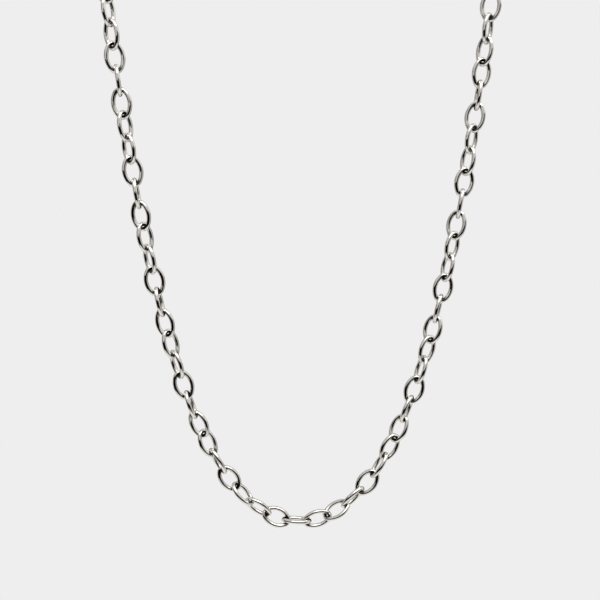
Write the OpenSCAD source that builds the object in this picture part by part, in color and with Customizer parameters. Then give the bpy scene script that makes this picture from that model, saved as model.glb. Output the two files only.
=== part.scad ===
/* [Links] */
// Diameter of the round silver wire
wire_d = 1.15; // [1:0.05:1.15]
// Outside length of one oval link
link_len = 8.4; // [8.2:0.1:8.6]
// Outside width of one oval link
link_w = 5.7; // [5.6:0.1:6]
// Free play where one link pulls on the next
play = 0.2; // [0.2:0.01:0.3]

/* [Hang] */
// Links from the lowest point to where a strand climbs at 45 degrees
sag_links = 2.96; // [2.94:0.02:3.04]
// Distance of the lowest point from the middle of the lowest link, in links
low_shift = 0.25; // [0:0.05:0.5]
// Links that hang on each side of the lowest one
strand_links = 29; // [28:1:31]

/* [Twist] */
// Turn of the lowest link about its own length, in degrees
first_roll = 95; // [85:1:105]
// What each hanging link falls short of a quarter turn from the last one, in degrees
twist = 19.5; // [16:0.5:20]
// Further turn of the left strand's links where it is wound up the most, in degrees
wind = 10; // [0:1:12]
// Link where it is wound up the most, counted up from the lowest one
wind_link = 8; // [6:1:12]
// Links from there to where the winding has faded
wind_fade = 4; // [4:1:6]

/* [Neck] */
// Links that bend back over each shoulder
shoulder_links = 3; // [3:1:5]
// Links that run straight back beside the neck
side_links = 4; // [3:1:6]
// Links of each side that go round the nape
nape_links = 13; // [12:1:13]
// Slope of the neck loop, which is higher at the nape, in degrees
nape_rise = 14; // [8:1:20]

/* [Clasp] */
// Diameter of the claw's rod
claw_d = 1.3; // [1.2:0.05:1.35]
// Outside length of the claw
claw_len = 10.2; // [9.8:0.2:10.6]
// Outside width of the claw
claw_w = 6.8; // [6.6:0.2:7.2]
// Diameter of the eye's wire
eye_wire_d = 1.2; // [1.1:0.05:1.25]
// Radius of the eye, at the middle of its wire
eye_r = 1.9; // [1.8:0.1:2.1]
// Diameter of the barrel between claw and eye
barrel_d = 2.6; // [2.4:0.1:3]

/* [Hidden] */
silver = [0.86, 0.86, 0.85];
LEFT = -1;
RIGHT = 1;
wire_sides = 32;
arc_steps = 96;

// The distance from one link to the next, and the links along each side
pitch = link_len - 2 * wire_d - play;
half_len = (link_len - wire_d) / 2;
end_r = bend_r(link_len, link_w, wire_d);
shoulder_end = strand_links + shoulder_links;
side_end = shoulder_end + side_links;
last_link = side_end + nape_links;

function unit(v) = v / norm(v);

// What is left of v without its part along the unit vector u
function square_to(v, u) = unit(v - (v * u) * u);

// Slope of hanging link i, counted from the lowest one to the right
function slope(i) = atan((i - low_shift) / sag_links);

// The way that link k of a side runs, up and away from the lowest link
function hang_way(side, k) = side * [cos(slope(side * k)), 0, sin(slope(side * k))];
side_way = [0, cos(nape_rise), sin(nape_rise)];

// The shoulder's links turn evenly from the strand's last way to the neck's side
function shoulder_way(side, k) =
    let (from = hang_way(side, strand_links),
         bend = acos(from * side_way),
         t = k / (shoulder_links + 1))
    (sin((1 - t) * bend) * from + sin(t * bend) * side_way) / sin(bend);
function lower_way(side, k) =
    k <= strand_links ? hang_way(side, k)
    : k <= shoulder_end ? shoulder_way(side, k - strand_links)
    : side_way;

// The way from a link of the front or the neck's side to the inside of the loop
function lower_inward(side, k) =
    k <= strand_links ? side * [-lower_way(side, k)[2], 0, lower_way(side, k)[0]]
    : square_to([-side, 0, 0], lower_way(side, k));

// Quarter turns all round, less the twist, which is let out again behind the neck
let_out = (twist * strand_links) % 180 / (last_link - strand_links);
function hanging(i) = min(strand_links, max(-strand_links, i));
function roll(i) =
    first_roll + 90 * i - twist * hanging(i) + let_out * (i - hanging(i))
    + wind * exp(-((i + wind_link) / wind_fade)^2);

// The way across a link, square to its length, at its roll from inward towards the back
function across(side, way, in, angle) = in * cos(angle) - side * cross(way, in) * sin(angle);
function lower_across(side, k) =
    across(side, lower_way(side, k), lower_inward(side, k), roll(side * k));

// The pull between link k and the next one, which halves the angle between their ways
function pull(side, k) =
    k < side_end ? unit(lower_way(side, k) + lower_way(side, k + 1)) : side_way;

// From a link's middle to the joint at its end, where its wire lies square to the pull
function reach(way, over, pulled) =
    (half_len - end_r) * way
    + end_r * unit((pulled * way) * way + (pulled * over) * over)
    - (wire_d + play) / 2 * pulled;
function to_joint(side, k, pulled) = reach(lower_way(side, k), lower_across(side, k), pulled);

// The joints of a side, from the lowest link's end to where the nape's links begin
function lower_joints(side) =
    [for (k = 0, at = to_joint(side, 0, pull(side, 0));
          k <= side_end;
          k = k + 1,
          at = at + to_joint(side, k, pull(side, k - 1)) + to_joint(side, k, pull(side, k))) at];
left_joints = lower_joints(LEFT);
right_joints = lower_joints(RIGHT);

// The nape's links lie on half a circle between the two neck sides
neck_span = right_joints[side_end] - left_joints[side_end];
neck_centre = (right_joints[side_end] + left_joints[side_end]) / 2;
neck_r = norm(neck_span) / 2;
to_right = unit(neck_span);
to_back = square_to(side_way, to_right);
nape_step = 2 * asin(pitch / 2 / neck_r);
function nape_ray(side, angle) = side * to_right * cos(angle) + to_back * sin(angle);
function nape_joint(side, k) = neck_centre + neck_r * nape_ray(side, (k - side_end) * nape_step);
clasp_span = norm(nape_joint(RIGHT, last_link) - nape_joint(LEFT, last_link));

// Puts a shape's X along a way, its Y across it, and its middle at a point of the loop
module set_at(middle, way, over) {
    up = cross(way, over);
    multmatrix([[way[0], over[0], up[0], middle[0]],
                [way[1], over[1], up[1], middle[1]],
                [way[2], over[2], up[2], middle[2]]])
        children();
}

module ring(r, d) {
    rotate_extrude($fn = arc_steps)
        translate([r, 0])
            circle(d = d, $fn = wire_sides);
}

// The part of a ring that an outline around its middle covers
module ring_part(r, d, outline) {
    intersection() {
        ring(r, d);
        linear_extrude(2 * d, center = true)
            polygon(2 * r * outline);
    }
}

// An oval ring of round rod, of two end bends and two flanks that run into each other.
// The line through a bend's and a flank's middle and their joint has the slope of a
// 3-4-5 triangle, so all of them lie at round numbers.
function triangle(len, w) = (len - w) / 4;
function bend_r(len, w, d) = (w - d) / 2 - triangle(len, w);
module oval(len, w, d) {
    step = triangle(len, w);
    bend = bend_r(len, w, d);
    for (half = [0, 180])
        rotate([0, 0, half]) {
            translate([3 * step, 0, 0])
                ring_part(bend, d, [[0, 0], [0.6, -0.8], [2, 0], [0.6, 0.8]]);
            translate([0, -4 * step, 0])
                ring_part(bend + 5 * step, d, [[0, 0], [0.6, 0.8], [-0.6, 0.8]]);
        }
}

module link() {
    oval(link_len, link_w, wire_d);
}

// Link k of the front or the neck's side stands between the joints at its ends
module lower_link(side, k) {
    start = side == LEFT ? left_joints[k - 1] : right_joints[k - 1];
    set_at(start + to_joint(side, k, pull(side, k - 1)), lower_way(side, k), lower_across(side, k))
        link();
}

module nape_link(side, k) {
    start = nape_joint(side, k - 1);
    end = nape_joint(side, k);
    way = unit(end - start);
    in = -nape_ray(side, (k - side_end - 0.5) * nape_step);
    set_at((start + end) / 2, way, across(side, way, in, roll(side * k)))
        link();
}

module strand(side) {
    for (k = [1 : side_end]) lower_link(side, k);
    for (k = [side_end + 1 : last_link]) nape_link(side, k);
}

module chain_left() {
    color(silver)
        translate(-neck_centre)
            strand(LEFT);
}

module chain_right() {
    color(silver)
        translate(-neck_centre) {
            set_at([0, 0, 0], lower_way(RIGHT, 0), lower_across(RIGHT, 0))
                link();
            strand(RIGHT);
        }
}

// The claw holds the left end and the eye the right end, with a short barrel between them
module clasp() {
    claw_x = (claw_len - 2 * claw_d - play - clasp_span) / 2;
    barrel_x = claw_x + (claw_len - claw_d) / 2;
    eye_x = (clasp_span + eye_wire_d + play) / 2 - eye_r;
    roll_here = first_roll + 90 * (last_link + 1);
    color(silver)
        translate(-neck_centre)
            set_at((nape_joint(RIGHT, last_link) + nape_joint(LEFT, last_link)) / 2,
                   to_right, across(LEFT, to_right, -to_back, roll_here)) {
                translate([claw_x, 0, 0])
                    oval(claw_len, claw_w, claw_d);
                translate([barrel_x, 0, 0])
                    rotate([0, 90, 0])
                        cylinder(h = eye_x - eye_r - barrel_x, d = barrel_d, $fn = wire_sides);
                translate([eye_x, 0, 0])
                    ring(eye_r, eye_wire_d);
            }
}

chain_left();
chain_right();
clasp();
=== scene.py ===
"""A long silver cable chain necklace, as it hangs on a neck, and the studio around it."""

import math
from collections import namedtuple

import bpy
from mathutils import Matrix, Vector


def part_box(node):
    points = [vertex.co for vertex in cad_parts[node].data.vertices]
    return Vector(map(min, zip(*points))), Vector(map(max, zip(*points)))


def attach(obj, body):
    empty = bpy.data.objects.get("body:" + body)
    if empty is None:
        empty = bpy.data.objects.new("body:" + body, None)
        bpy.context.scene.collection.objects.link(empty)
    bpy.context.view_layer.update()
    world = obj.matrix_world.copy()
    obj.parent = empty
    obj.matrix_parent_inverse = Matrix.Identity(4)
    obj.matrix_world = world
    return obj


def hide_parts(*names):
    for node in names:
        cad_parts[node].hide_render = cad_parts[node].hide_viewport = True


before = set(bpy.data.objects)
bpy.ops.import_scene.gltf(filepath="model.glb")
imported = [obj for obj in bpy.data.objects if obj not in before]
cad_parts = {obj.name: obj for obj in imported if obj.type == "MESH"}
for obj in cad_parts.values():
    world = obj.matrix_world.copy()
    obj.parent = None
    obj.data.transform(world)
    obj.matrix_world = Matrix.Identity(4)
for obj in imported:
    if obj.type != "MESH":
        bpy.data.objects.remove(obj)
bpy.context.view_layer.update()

MM = 0.001
LEFT, RIGHT = -1, 1

# The chain's driving sizes, in millimetres, degrees and links
WIRE = 1.15
LINK_LEN = 8.4
LINK_W = 5.7
PLAY = 0.2
SAG_LINKS = 2.96
LOW_SHIFT = 0.25
STRAND_LINKS = 29
SHOULDER_LINKS = 3
SIDE_LINKS = 4
NAPE_LINKS = 13
FIRST_ROLL = 95
TWIST = 19.5
WIND = 10
WIND_LINK = 8
WIND_FADE = 4
NAPE_RISE = 14

# The clasp's sizes, in millimetres
CLAW_D = 1.3
CLAW_LEN = 10.2
CLAW_W = 6.8
EYE_WIRE = 1.2
EYE_R = 1.9
BARREL_D = 2.6

PITCH = LINK_LEN - 2 * WIRE - PLAY
HALF_LEN = (LINK_LEN - WIRE) / 2
SHOULDER_END = STRAND_LINKS + SHOULDER_LINKS
SIDE_END = SHOULDER_END + SIDE_LINKS
LAST_LINK = SIDE_END + NAPE_LINKS


# An oval is four arcs that meet at the slant side of 3-4-5 triangles, measured in steps
SHORT, LONG, SLANT = 3, 4, 5


def oval_sizes(length, width, wire):
    """The step of an oval's triangles and the radius of its end bends."""
    step = (length - width) / 4
    return step, (width - wire) / 2 - step


# Where each link hangs


def cosd(degrees):
    return math.cos(math.radians(degrees))


def sind(degrees):
    return math.sin(math.radians(degrees))


def square_to(vector, unit):
    return (vector - vector.dot(unit) * unit).normalized()


def hang_way(side, k):
    """The way link k of a side's hanging strand runs, up and away from the lowest link."""
    slope = math.atan((side * k - LOW_SHIFT) / SAG_LINKS)
    return side * Vector((math.cos(slope), 0, math.sin(slope)))


SIDE_WAY = Vector((0, cosd(NAPE_RISE), sind(NAPE_RISE)))


def lower_way(side, k):
    if k <= STRAND_LINKS:
        return hang_way(side, k)
    if k > SHOULDER_END:
        return SIDE_WAY
    start = hang_way(side, STRAND_LINKS)
    return start.slerp(SIDE_WAY, (k - STRAND_LINKS) / (SHOULDER_LINKS + 1))


def lower_inward(side, k):
    way = lower_way(side, k)
    if k <= STRAND_LINKS:
        return side * Vector((-way.z, 0, way.x))
    return square_to(Vector((-side, 0, 0)), way)


LET_OUT = (TWIST * STRAND_LINKS) % 180 / (LAST_LINK - STRAND_LINKS)


def roll(i):
    hanging = min(STRAND_LINKS, max(-STRAND_LINKS, i))
    wound = WIND * math.exp(-(((i + WIND_LINK) / WIND_FADE) ** 2))
    return FIRST_ROLL + 90 * i - TWIST * hanging + LET_OUT * (i - hanging) + wound


def across(side, way, inward, angle):
    return inward * cosd(angle) - side * way.cross(inward) * sind(angle)


def lower_across(side, k):
    return across(side, lower_way(side, k), lower_inward(side, k), roll(side * k))


def pull(side, k):
    """The pull between link k and the next one, halfway between their ways."""
    if k >= SIDE_END:
        return SIDE_WAY
    return (lower_way(side, k) + lower_way(side, k + 1)).normalized()


def to_joint(side, k, pulled):
    """From link k's middle to the joint at its end, where its wire lies square to the pull."""
    bend = oval_sizes(LINK_LEN, LINK_W, WIRE)[1]
    way, over = lower_way(side, k), lower_across(side, k)
    turn = (pulled.dot(way) * way + pulled.dot(over) * over).normalized()
    return (HALF_LEN - bend) * way + bend * turn - (WIRE + PLAY) / 2 * pulled


def lower_links(side):
    """Middle, way and across of a side's links up to the nape, and the joint where they end."""
    joint = to_joint(side, 0, pull(side, 0))
    links = []
    for k in range(1, SIDE_END + 1):
        middle = joint + to_joint(side, k, pull(side, k - 1))
        links.append((middle, lower_way(side, k), lower_across(side, k)))
        joint = middle + to_joint(side, k, pull(side, k))
    return links, joint


lower = {side: lower_links(side) for side in (LEFT, RIGHT)}
neck_span = lower[RIGHT][1] - lower[LEFT][1]
neck_centre = (lower[RIGHT][1] + lower[LEFT][1]) / 2
neck_r = neck_span.length / 2
to_right = neck_span.normalized()
to_back = square_to(SIDE_WAY, to_right)
nape_step = 2 * math.degrees(math.asin(PITCH / 2 / neck_r))


def nape_ray(side, angle):
    return side * to_right * cosd(angle) + to_back * sind(angle)


def nape_joint(side, k):
    return neck_centre + neck_r * nape_ray(side, (k - SIDE_END) * nape_step)


def nape_links(side):
    links = []
    for k in range(SIDE_END + 1, LAST_LINK + 1):
        start, end = nape_joint(side, k - 1), nape_joint(side, k)
        way = (end - start).normalized()
        inward = -nape_ray(side, (k - SIDE_END - 0.5) * nape_step)
        links.append(((start + end) / 2, way, across(side, way, inward, roll(side * k))))
    return links


def strand(side):
    return lower[side][0] + nape_links(side)


lowest_link = (Vector(), lower_way(RIGHT, 0), lower_across(RIGHT, 0))


# Node trees


class Sock:
    """A node's output that Python's operators work on."""

    def __init__(self, nodes, out):
        self.nodes, self.out = nodes, out

    def __add__(self, other):
        return self.nodes.maths("ADD", self, other)

    def __radd__(self, other):
        return self.nodes.maths("ADD", other, self)

    def __sub__(self, other):
        return self.nodes.maths("SUBTRACT", self, other)

    def __rsub__(self, other):
        return self.nodes.maths("SUBTRACT", other, self)

    def __mul__(self, other):
        return self.nodes.maths("MULTIPLY", self, other)

    def __rmul__(self, other):
        return self.nodes.maths("MULTIPLY", other, self)


class Nodes:
    """A node tree, with one method that makes any node."""

    def __init__(self, tree):
        self.tree = tree

    def node(self, kind, settings, *values, out=0, **named):
        made = self.tree.nodes.new(kind)
        for key, value in settings.items():
            if key == "stops":
                self.set_stops(made.color_ramp, value)
            else:
                setattr(made, key, value)
        for socket, value in zip([socket for socket in made.inputs if socket.enabled], values):
            self.feed(socket, value)
        for key, value in named.items():
            self.feed(made.inputs[key], value)
        return Sock(self, made.outputs[out])

    def feed(self, socket, value):
        """Links a value or sets it; None leaves the socket as it is."""
        if isinstance(value, Sock):
            self.tree.links.new(value.out, socket)
        elif value is not None:
            socket.default_value = value

    def set_stops(self, ramp, stops):
        while len(ramp.elements) < len(stops):
            ramp.elements.new(1)
        for element, (place, grey) in zip(ramp.elements, stops):
            element.position, element.color = place, (grey, grey, grey, 1)

    def maths(self, operation, *values):
        return self.node("ShaderNodeMath", {"operation": operation}, *values)

    def parts(self, vector):
        """The three numbers of a vector."""
        split = self.node("ShaderNodeSeparateXYZ", {}, vector)
        return [Sock(self, out) for out in split.out.node.outputs]


class Shading(Nodes):
    """The node tree of a material or of the studio."""

    def mix(self, factor, first, second):
        """Two colours mixed by a factor."""
        return self.node("ShaderNodeMix", {"data_type": "RGBA"}, factor, first, second, out=2)

    def ramp(self, value, *stops):
        """A number through a ramp of (place, grey) stops."""
        return self.node("ShaderNodeValToRGB", {"stops": stops}, value)

    def edge(self, value, low, high):
        """0 below one limit, 1 above the other, and a smooth step between them."""
        smooth = {"interpolation_type": "SMOOTHSTEP"}
        return self.node("ShaderNodeMapRange", smooth, value, low, high)

    def within(self, value, low, high, soft):
        """1 where a value lies between two limits, with soft edges."""
        rise = self.edge(value, low - soft, low + soft)
        return rise * (1 - self.edge(value, high - soft, high + soft))

    def noise(self, where, scale, detail=3):
        return self.node("ShaderNodeTexNoise", {}, Vector=where, Scale=scale, Detail=detail)


class Geometry(Nodes):
    """A geometry node tree with named inputs."""

    def __init__(self, name):
        super().__init__(bpy.data.node_groups.new(name, "GeometryNodeTree"))
        self.inputs = {}
        self.start = self.tree.nodes.new("NodeGroupInput")

    def value(self, name, kind="NodeSocketFloat"):
        """A named input of the tree, made where it is first asked for."""
        if name not in self.inputs:
            interface = self.tree.interface
            self.inputs[name] = interface.new_socket(name, in_out="INPUT", socket_type=kind)
        return Sock(self, self.start.outputs[name])

    def keep(self, geometry, kind, name, value):
        """The geometry with a value kept on its points as an attribute."""
        settings = {"data_type": kind, "domain": "POINT"}
        return self.node("GeometryNodeStoreNamedAttribute", settings, geometry, None, name, value)

    def finish(self, geometry):
        interface = self.tree.interface
        interface.new_socket("Geometry", in_out="OUTPUT", socket_type="NodeSocketGeometry")
        end = self.tree.nodes.new("NodeGroupOutput")
        self.feed(end.inputs["Geometry"], geometry)


# Silver

POLISHED = (0.95, 0.93, 0.88, 1)
CLOUDED = (0.9, 0.875, 0.835, 1)
TARNISH_AND_SHADE = (0.024, 0.017, 0.011, 1)
SOLDER = (0.3, 0.28, 0.25, 1)

# Noise cells in a metre, of the clouds, the smudges and the hairlines, which lie level
CLOUDS, SMUDGES, HAIRS = 900, 3500, 9000
HAIR_STRETCH = (1, 1, 9)
HAIR_DEPTH = 0.02 * MM

# The roughness of clean silver, and what rub, a seam and smudges, from (noise, more) stops, add
CLEAN, RUB_DULL, SEAM_DULL = 0.03, 0.1, 0.2
SMUDGE_DULL = ((0.4, 0), (0.75, 0.08))

# The share of tarnish and painted shade in the end bends, from (bend mask, share) stops, and of
# solder in a seam
BEND_TARNISH_AND_SHADE = ((0.15, 0), (0.6, 0.97))
SEAM_DARK = 0.6

# Half a solder seam's width, its soft edge, and where the flank with the seam begins and is in
# full, from a link's middle: all as shares of a link's half opening
SEAM_HALF, SEAM_SOFT = 0.012, 0.006
FLANK = (0.1, 0.3)


def polished_silver():
    """Bright silver with a handled polish, fine hairlines and a solder seam across one flank of
    each link; it is dark inside the end bends, partly tarnish where no polishing reaches and partly
    painted shade where the links touch."""
    material = bpy.data.materials.new("polished_silver")
    material.use_nodes = True
    shade = Shading(material.node_tree)
    shader = material.node_tree.nodes["Principled BSDF"].inputs
    where = shade.node("ShaderNodeTexCoord", {}, out="Object")
    rub = shade.node("ShaderNodeAttribute", {"attribute_name": "rub"}, out="Fac")
    in_link = shade.node("ShaderNodeAttribute", {"attribute_name": "in_link"}, out="Vector")
    along, over = shade.parts(in_link)[:2]
    seam = shade.within(along, -SEAM_HALF, SEAM_HALF, SEAM_SOFT) * shade.edge(over, *FLANK)

    tone = shade.mix(shade.noise(where, CLOUDS), POLISHED, CLOUDED)
    # Tarnish and painted shade inside the end bends, where the links touch
    tone = shade.mix(shade.ramp(rub, *BEND_TARNISH_AND_SHADE), tone, TARNISH_AND_SHADE)
    tone = shade.mix(seam * SEAM_DARK, tone, SOLDER)
    shade.feed(shader["Base Color"], tone)

    dull = shade.ramp(shade.noise(where, SMUDGES), *SMUDGE_DULL) + rub * RUB_DULL + seam * SEAM_DULL
    shade.feed(shader["Roughness"], CLEAN + dull)

    stretched = shade.node("ShaderNodeMapping", {}, Vector=where, Scale=HAIR_STRETCH)
    hairs = shade.noise(stretched, HAIRS, 2)
    bump = shade.node("ShaderNodeBump", {}, Strength=0.04, Distance=HAIR_DEPTH, Height=hairs)
    shade.feed(shader["Normal"], bump)
    shader["Metallic"].default_value = 1
    return material


silver = polished_silver()


# Links

# The rings of points round a link's wire and the points in a ring
WIRE_RINGS, WIRE_SIDES = 56, 16

# Where the links rub, which is also where the silver gets tarnish and painted shade: how far round
# # the wire from its inner side, and how close to the bends
RUB_AND_SHADE_ROUND = 0.4
RUB_AND_SHADE_POWER = 3


def link_tree():
    """Oval links of round wire, one on each point, along its way and across attributes."""
    g = Geometry("oval_links")
    points = g.value("Geometry", "NodeSocketGeometry")
    step, bend = g.value("Step"), g.value("Bend radius")
    wire_r, half_open = g.value("Wire radius"), g.value("Half opening")
    rings, sides = g.value("Rings", "NodeSocketInt"), g.value("Sides", "NodeSocketInt")
    material = g.value("Material", "NodeSocketMaterial")

    circle = g.node("GeometryNodeCurvePrimitiveCircle", {"mode": "RADIUS"}, rings, Radius=1)
    outward = g.node("GeometryNodeInputPosition", {})
    outward_x, outward_y = g.parts(outward)[:2]
    on_end = g.maths("GREATER_THAN", g.maths("ABSOLUTE", outward_x), SHORT / SLANT)
    on_flank = 1 - on_end
    centre_x = on_end * g.maths("SIGN", outward_x) * step * SHORT
    centre_y = on_flank * g.maths("SIGN", outward_y) * step * -LONG
    radius = bend + on_flank * step * SLANT
    place = g.node(
        "ShaderNodeVectorMath", {"operation": "MULTIPLY_ADD"}, outward,
        g.node("ShaderNodeCombineXYZ", {}, radius, radius, 0),
        g.node("ShaderNodeCombineXYZ", {}, centre_x, centre_y, 0),
    )
    oval = g.node("GeometryNodeSetPosition", {}, circle, Position=place)
    section = g.node("GeometryNodeCurvePrimitiveCircle", {"mode": "RADIUS"}, sides, Radius=wire_r)
    link = g.node("GeometryNodeCurveToMesh", {}, oval, section)

    half = g.node("ShaderNodeCombineXYZ", {}, half_open, half_open, wire_r)
    here = g.node("GeometryNodeInputPosition", {})
    in_link = g.node("ShaderNodeVectorMath", {"operation": "DIVIDE"}, here, half)
    along = g.parts(in_link)[0]
    normal_x = g.parts(g.node("GeometryNodeInputNormal", {}))[0]
    # The rub mask: the inner side of the wire near the bends, where the silver is rougher and gets
    # tarnish and painted shade
    inner = g.maths("SIGN", along) * normal_x * -1
    to_end = g.maths("POWER", g.maths("ABSOLUTE", along), RUB_AND_SHADE_POWER)
    link = g.keep(link, "FLOAT", "rub", g.maths("MAXIMUM", inner + RUB_AND_SHADE_ROUND, 0) * to_end)
    link = g.keep(link, "FLOAT_VECTOR", "in_link", in_link)

    way, over = (
        g.node("GeometryNodeInputNamedAttribute", {"data_type": "FLOAT_VECTOR"}, name)
        for name in ("way", "across")
    )
    axes = {"primary_axis": "X", "secondary_axis": "Y"}
    turned = g.node("FunctionNodeAxesToRotation", axes, way, over)
    links = g.node("GeometryNodeInstanceOnPoints", {}, points, Instance=link, Rotation=turned)
    links = g.node("GeometryNodeRealizeInstances", {}, links)
    links = g.node("GeometryNodeSetShadeSmooth", {}, links)
    g.finish(g.node("GeometryNodeSetMaterial", {}, links, Material=material))
    return g


def plain_mesh(obj, name):
    """The object with its evaluated shape as a plain mesh in place of its first one."""
    evaluated = obj.evaluated_get(bpy.context.evaluated_depsgraph_get())
    mesh = bpy.data.meshes.new_from_object(evaluated)
    mesh.name = name
    source = obj.data
    obj.modifiers.clear()
    obj.data = mesh
    bpy.data.meshes.remove(source)
    obj.name = name
    return obj


def chain(name, ovals, links):
    """One mesh of oval links at their (middle, way, across) places."""
    points = bpy.data.meshes.new(name + "_points")
    points.from_pydata([(middle - neck_centre) * MM for middle, way, over in links], [], [])
    for key, column in (("way", 1), ("across", 2)):
        layer = points.attributes.new(key, "FLOAT_VECTOR", "POINT")
        layer.data.foreach_set("vector", [part for link in links for part in link[column]])
    obj = bpy.data.objects.new(name, points)
    bpy.context.collection.objects.link(obj)
    step, bend = oval_sizes(LINK_LEN, LINK_W, WIRE)
    modifier = obj.modifiers.new("oval_links", "NODES")
    modifier.node_group = ovals.tree
    sizes = {
        "Step": step * MM,
        "Bend radius": bend * MM,
        "Wire radius": WIRE / 2 * MM,
        "Half opening": (LINK_LEN / 2 - WIRE) * MM,
        "Rings": WIRE_RINGS,
        "Sides": WIRE_SIDES,
        "Material": silver,
    }
    for key, value in sizes.items():
        modifier[ovals.inputs[key].identifier] = value
    return plain_mesh(obj, name)


oval_links = link_tree()
left_strand = chain("left_strand", oval_links, strand(LEFT))
right_strand = chain("right_strand", oval_links, [lowest_link] + strand(RIGHT))


# Clasp

# Places on the claw by the way that its rod faces, in degrees from the barrel on: the gate's two
# ends, with half the width of a seam there and its rings, and the hinge's pin and the lever
HINGE, MOUTH = 60, 121
GATE_SEAM = 0.6
GATE_SEAM_RINGS = (0.9 * GATE_SEAM, 1.3 * GATE_SEAM)
PIN, LEVER = HINGE + 8, HINGE + 17

# Shares of the rod's radius: its mean, its taper to the tip, at the gate and in a seam
ROD_MEAN, ROD_TAPER = 0.98, 0.1
AT_GATE, IN_SEAM = 0.93, 0.8

# The pin's radius and how far it stands proud, the lever's half sizes and how far out it sits
PIN_R, PIN_PROUD = 0.34, 0.08
LEVER_HALF = (0.85, 0.5, 0.42)
LEVER_OUT = 0.5

# The barrel's (place, radius) pairs up to its middle, with one of its two collars, as shares of its
# length and of its radius
HALF_BARREL = [
    (0, 0.7), (0.03, 0.86), (0.08, 0.93), (0.2, 0.95),
    (0.25, 0.84), (0.31, 0.84), (0.36, 0.97), (0.5, 1),
]

# The rings of points of each form and the points in a ring
ROD_RINGS, EYE_RINGS, ROD_SIDES = 90, 48, 24
BEAD_RINGS, BEAD_SIDES = 14, 20
BARREL_SIDES = 40


class Shells:
    """Closed shells of rings of points, gathered for one mesh."""

    def __init__(self):
        self.points, self.faces = [], []

    def add(self, rings, looped=False):
        first, count = len(self.points), len(rings[0])
        self.points += [point for ring in rings for point in ring]
        last = len(rings) - 1
        for i in range(len(rings) if looped else last):
            here, there = first + i * count, first + (i + 1) % len(rings) * count
            for j in range(count):
                k = (j + 1) % count
                self.faces.append((here + j, here + k, there + k, there + j))
        if not looped:
            self.faces.append([first + j for j in reversed(range(count))])
            self.faces.append([first + last * count + j for j in range(count)])


def spokes(count):
    return [360 * i / count for i in range(count)]


def facing(angle):
    return Vector((cosd(angle), sind(angle), 0))


def rod_ring(centre, outward, radius):
    """A ring of points round a rod that turns about Z, from its outer side on."""
    rise = Vector((0, 0, 1))
    return [centre + radius * (cosd(a) * outward - sind(a) * rise) for a in spokes(ROD_SIDES)]


def lathed(start, profile):
    """A body turned about X, from (place, radius) pairs."""
    return [
        [start + Vector((place, radius * cosd(a), radius * sind(a))) for a in spokes(BARREL_SIDES)]
        for place, radius in profile
    ]


def bead(middle, half):
    """A rounded body with the given half sizes."""
    rings = []
    for i in range(1, BEAD_RINGS):
        tilt = 180 * i / BEAD_RINGS
        x, y, z = -half[0] * cosd(tilt), half[1] * sind(tilt), half[2] * sind(tilt)
        rings.append([middle + Vector((x, y * cosd(a), z * sind(a))) for a in spokes(BEAD_SIDES)])
    return rings


def on_claw(angle):
    """The middle of the claw's rod where it faces outward at an angle."""
    step, bend = oval_sizes(CLAW_LEN, CLAW_W, CLAW_D)
    outward = facing(angle)
    if abs(outward.x) > SHORT / SLANT:
        return Vector((math.copysign(SHORT * step, outward.x), 0, 0)) + bend * outward
    return Vector((0, math.copysign(LONG * step, -outward.y), 0)) + (bend + SLANT * step) * outward


def claw_radius(angle):
    """The rod tapers from the barrel to the tip, thinner at the gate and thinnest in its seams."""
    radius = CLAW_D / 2 * (ROD_MEAN + ROD_TAPER * cosd(angle))
    if min(abs(angle - HINGE), abs(angle - MOUTH)) < GATE_SEAM:
        return radius * IN_SEAM
    return radius * (AT_GATE if HINGE < angle < MOUTH else 1)


def mesh_object(name, points, faces, material):
    mesh = bpy.data.meshes.new(name)
    mesh.from_pydata(points, [], faces)
    mesh.materials.append(material)
    obj = bpy.data.objects.new(name, mesh)
    bpy.context.collection.objects.link(obj)
    return obj


def claw_clasp():
    """The claw with its gate, pin and lever, the collared barrel and the eye, one after another."""
    left_end, right_end = (nape_joint(side, LAST_LINK) for side in (LEFT, RIGHT))
    span = (right_end - left_end).length
    claw = Vector(((CLAW_LEN - 2 * CLAW_D - PLAY - span) / 2, 0, 0))
    eye = Vector(((span + EYE_WIRE + PLAY) / 2 - EYE_R, 0, 0))
    barrel = claw + Vector(((CLAW_LEN - CLAW_D) / 2, 0, 0))
    barrel_len = eye.x - EYE_R - barrel.x
    shells = Shells()

    offsets = [side * far for side in (-1, 1) for far in GATE_SEAM_RINGS]
    seams = [end + offset for end in (HINGE, MOUTH) for offset in offsets]
    shells.add([
        rod_ring(claw + on_claw(angle), facing(angle), claw_radius(angle))
        for angle in sorted(spokes(ROD_RINGS) + seams)
    ], looped=True)
    shells.add(bead(claw + on_claw(PIN), (PIN_R, PIN_R, CLAW_D / 2 + PIN_PROUD)))
    shells.add(bead(claw + on_claw(LEVER) + LEVER_OUT * facing(LEVER), LEVER_HALF))

    other_half = [(1 - place, radius) for place, radius in reversed(HALF_BARREL[:-1])]
    shells.add(lathed(barrel, [
        (place * barrel_len, radius * BARREL_D / 2) for place, radius in HALF_BARREL + other_half
    ]))
    shells.add([
        rod_ring(eye + EYE_R * facing(angle), facing(angle), EYE_WIRE / 2)
        for angle in spokes(EYE_RINGS)
    ], looped=True)

    over = across(LEFT, to_right, -to_back, FIRST_ROLL + 90 * (LAST_LINK + 1))
    up = to_right.cross(over)
    middle = (right_end + left_end) / 2 - neck_centre
    points = [(middle + p.x * to_right + p.y * over + p.z * up) * MM for p in shells.points]
    clasp = mesh_object("claw_clasp", points, shells.faces, silver)
    clasp.data.shade_smooth()
    return clasp


clasp = claw_clasp()
for piece, node in ((left_strand, "chain_left"), (right_strand, "chain_right"), (clasp, "clasp")):
    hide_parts(node)
    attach(piece, "root")


# Stage, light and camera

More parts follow.
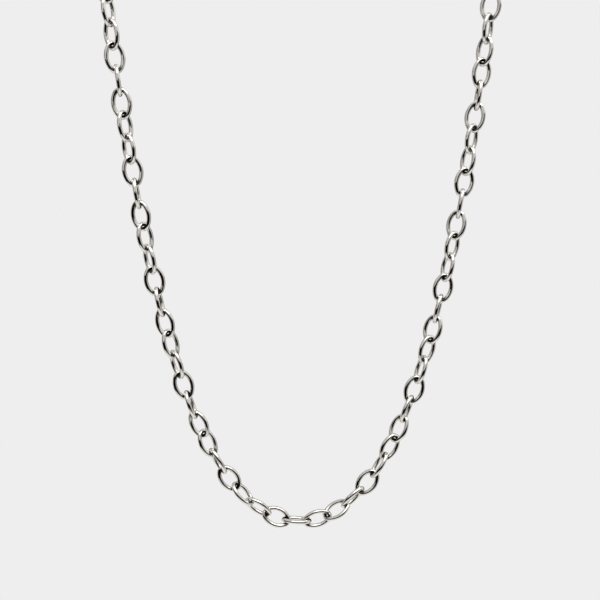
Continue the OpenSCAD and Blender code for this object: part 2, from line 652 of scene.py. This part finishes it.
PALE = (0.855, 0.855, 0.855, 1)
BLACK = (0.004, 0.002, 0.001, 1)

# The floor's level and half its width and the black cards' distance, in metres, and the steps of a
# card's curve
FLOOR_Z, FLOOR_HALF = -0.26, 20
CARD_R, CARD_STEPS = 0.4, 24

# The room's light, what the table adds to it below, and the heights where the table's light ends
# and the wall begins, in degrees
ROOM_LIGHT, TABLE_LIGHT = 0.56, 0.25
TABLE_END, WALL_START = -60, -38
LIGHT_COLOUR = (1, 0.99, 0.97)

# Lamps and shades of the room, between two turns from the front or from the back and two heights,
# in degrees, with the light that a lamp adds or the share of the light that a shade takes, and half
# the width of their soft edges in turn and in height
Zone = namedtuple("Zone", "side left right low high strength")
LAMPS = [
    Zone("front", -30, 75, 42, 71, 2.4),
    Zone("front", 85, 120, 12, 57, 0.6),
]
SHADES = [
    Zone("front", -5, 63, -37, 15, 0.85),
    Zone("front", -100, -65, 0, 28, 0.8),
    Zone("back", -35, 40, 0, 20, 0.85),
]
TURN_SOFT, HEIGHT_SOFT = 8, 4

# The camera of the photo: the point that it looks at and its distance, in millimetres, how far it
# looks down, to the right and leans, in radians, and its lens and film
AIM = Vector((-0.47, -33.33, -113.81))
DISTANCE = 272.4
TILT, YAW, LEAN = 0.1334, 0.1085, 0.0013
LENS, FILM = 60, 36


def lit_material(name, colour):
    """A surface of one colour that no light or shadow changes."""
    made = bpy.data.materials.new(name)
    made.use_nodes = True
    shader = made.node_tree.nodes["Principled BSDF"].inputs
    shader["Base Color"].default_value = (0, 0, 0, 1)
    shader["Specular IOR Level"].default_value = 0
    shader["Roughness"].default_value = 1
    shader["Emission Color"].default_value = colour
    shader["Emission Strength"].default_value = 1
    return made


def pale_floor():
    """A floor of the backdrop's colour, which the silver doesn't reflect."""
    half, z = FLOOR_HALF, FLOOR_Z
    corners = [(-half, -half, z), (half, -half, z), (half, half, z), (-half, half, z)]
    floor = mesh_object("floor", corners, [(0, 1, 2, 3)], lit_material("pale_floor", PALE))
    floor.visible_glossy = False


def dark_card(name, left, right, low, high):
    """A black card curved round the chain, between two turns from the front and two levels, which
    the silver reflects and the camera doesn't see."""
    middle = Vector((0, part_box("chain_right")[0][1], 0))
    rim = []
    for i in range(CARD_STEPS + 1):
        turn = left + (right - left) * i / CARD_STEPS
        rim.append(middle + CARD_R * Vector((sind(turn), -cosd(turn), 0)))
    points = [point + Vector((0, 0, level)) for level in (low, high) for point in rim]
    above = len(rim)
    faces = [(i, i + 1, above + i + 1, above + i) for i in range(CARD_STEPS)]
    card = mesh_object(name, points, faces, black_card)
    card.visible_camera = False


def studio_light():
    """A pale backdrop for the camera; around it a soft room with a lamp up in front, a lighter
    wall on the right, a pale table below, and darker corners."""
    world = bpy.data.worlds.new("studio")
    bpy.context.scene.world = world
    world.use_nodes = True
    room = Shading(world.node_tree)
    aside, ahead, above = room.parts(room.node("ShaderNodeTexCoord", {}, out="Generated"))
    degrees = math.degrees(1)
    height = room.maths("ARCSINE", above) * degrees
    turns = {
        "front": room.maths("ARCTAN2", aside, ahead * -1) * degrees,
        "back": room.maths("ARCTAN2", aside, ahead) * degrees,
    }

    def inside(zone):
        between = room.within(turns[zone.side], zone.left, zone.right, TURN_SOFT)
        return between * room.within(height, zone.low, zone.high, HEIGHT_SOFT)

    light = ROOM_LIGHT + TABLE_LIGHT * (1 - room.edge(height, TABLE_END, WALL_START))
    for lamp in LAMPS:
        light = light + lamp.strength * inside(lamp)
    for shade in SHADES:
        light = light * (1 - shade.strength * inside(shade))
    lit = room.node("ShaderNodeCombineColor", {}, *(light * part for part in LIGHT_COLOUR))
    seen = room.node("ShaderNodeLightPath", {}, out="Is Camera Ray")
    room.feed(world.node_tree.nodes["Background"].inputs["Color"], room.mix(seen, lit, PALE))


def photo_camera():
    camera_data = bpy.data.cameras.new("camera")
    camera_data.lens = LENS
    camera_data.sensor_width = FILM
    camera_data.clip_start = 0.01
    camera = bpy.data.objects.new("camera", camera_data)
    bpy.context.collection.objects.link(camera)
    bpy.context.scene.camera = camera
    flat = math.cos(TILT)
    back = Vector((-flat * math.sin(YAW), -flat * math.cos(YAW), math.sin(TILT)))
    camera.location = (AIM + DISTANCE * back) * MM
    level = back.to_track_quat("Z", "Y").to_matrix()
    camera.rotation_euler = (level @ Matrix.Rotation(LEAN, 3, "Z")).to_euler()


black_card = lit_material("black_card", BLACK)
pale_floor()
dark_card("front_card", -87, 39, -0.394, -0.07)
dark_card("back_card", 125, 205, -0.35, 0.03)
studio_light()
photo_camera()
bpy.context.scene.view_settings.view_transform = "Standard"
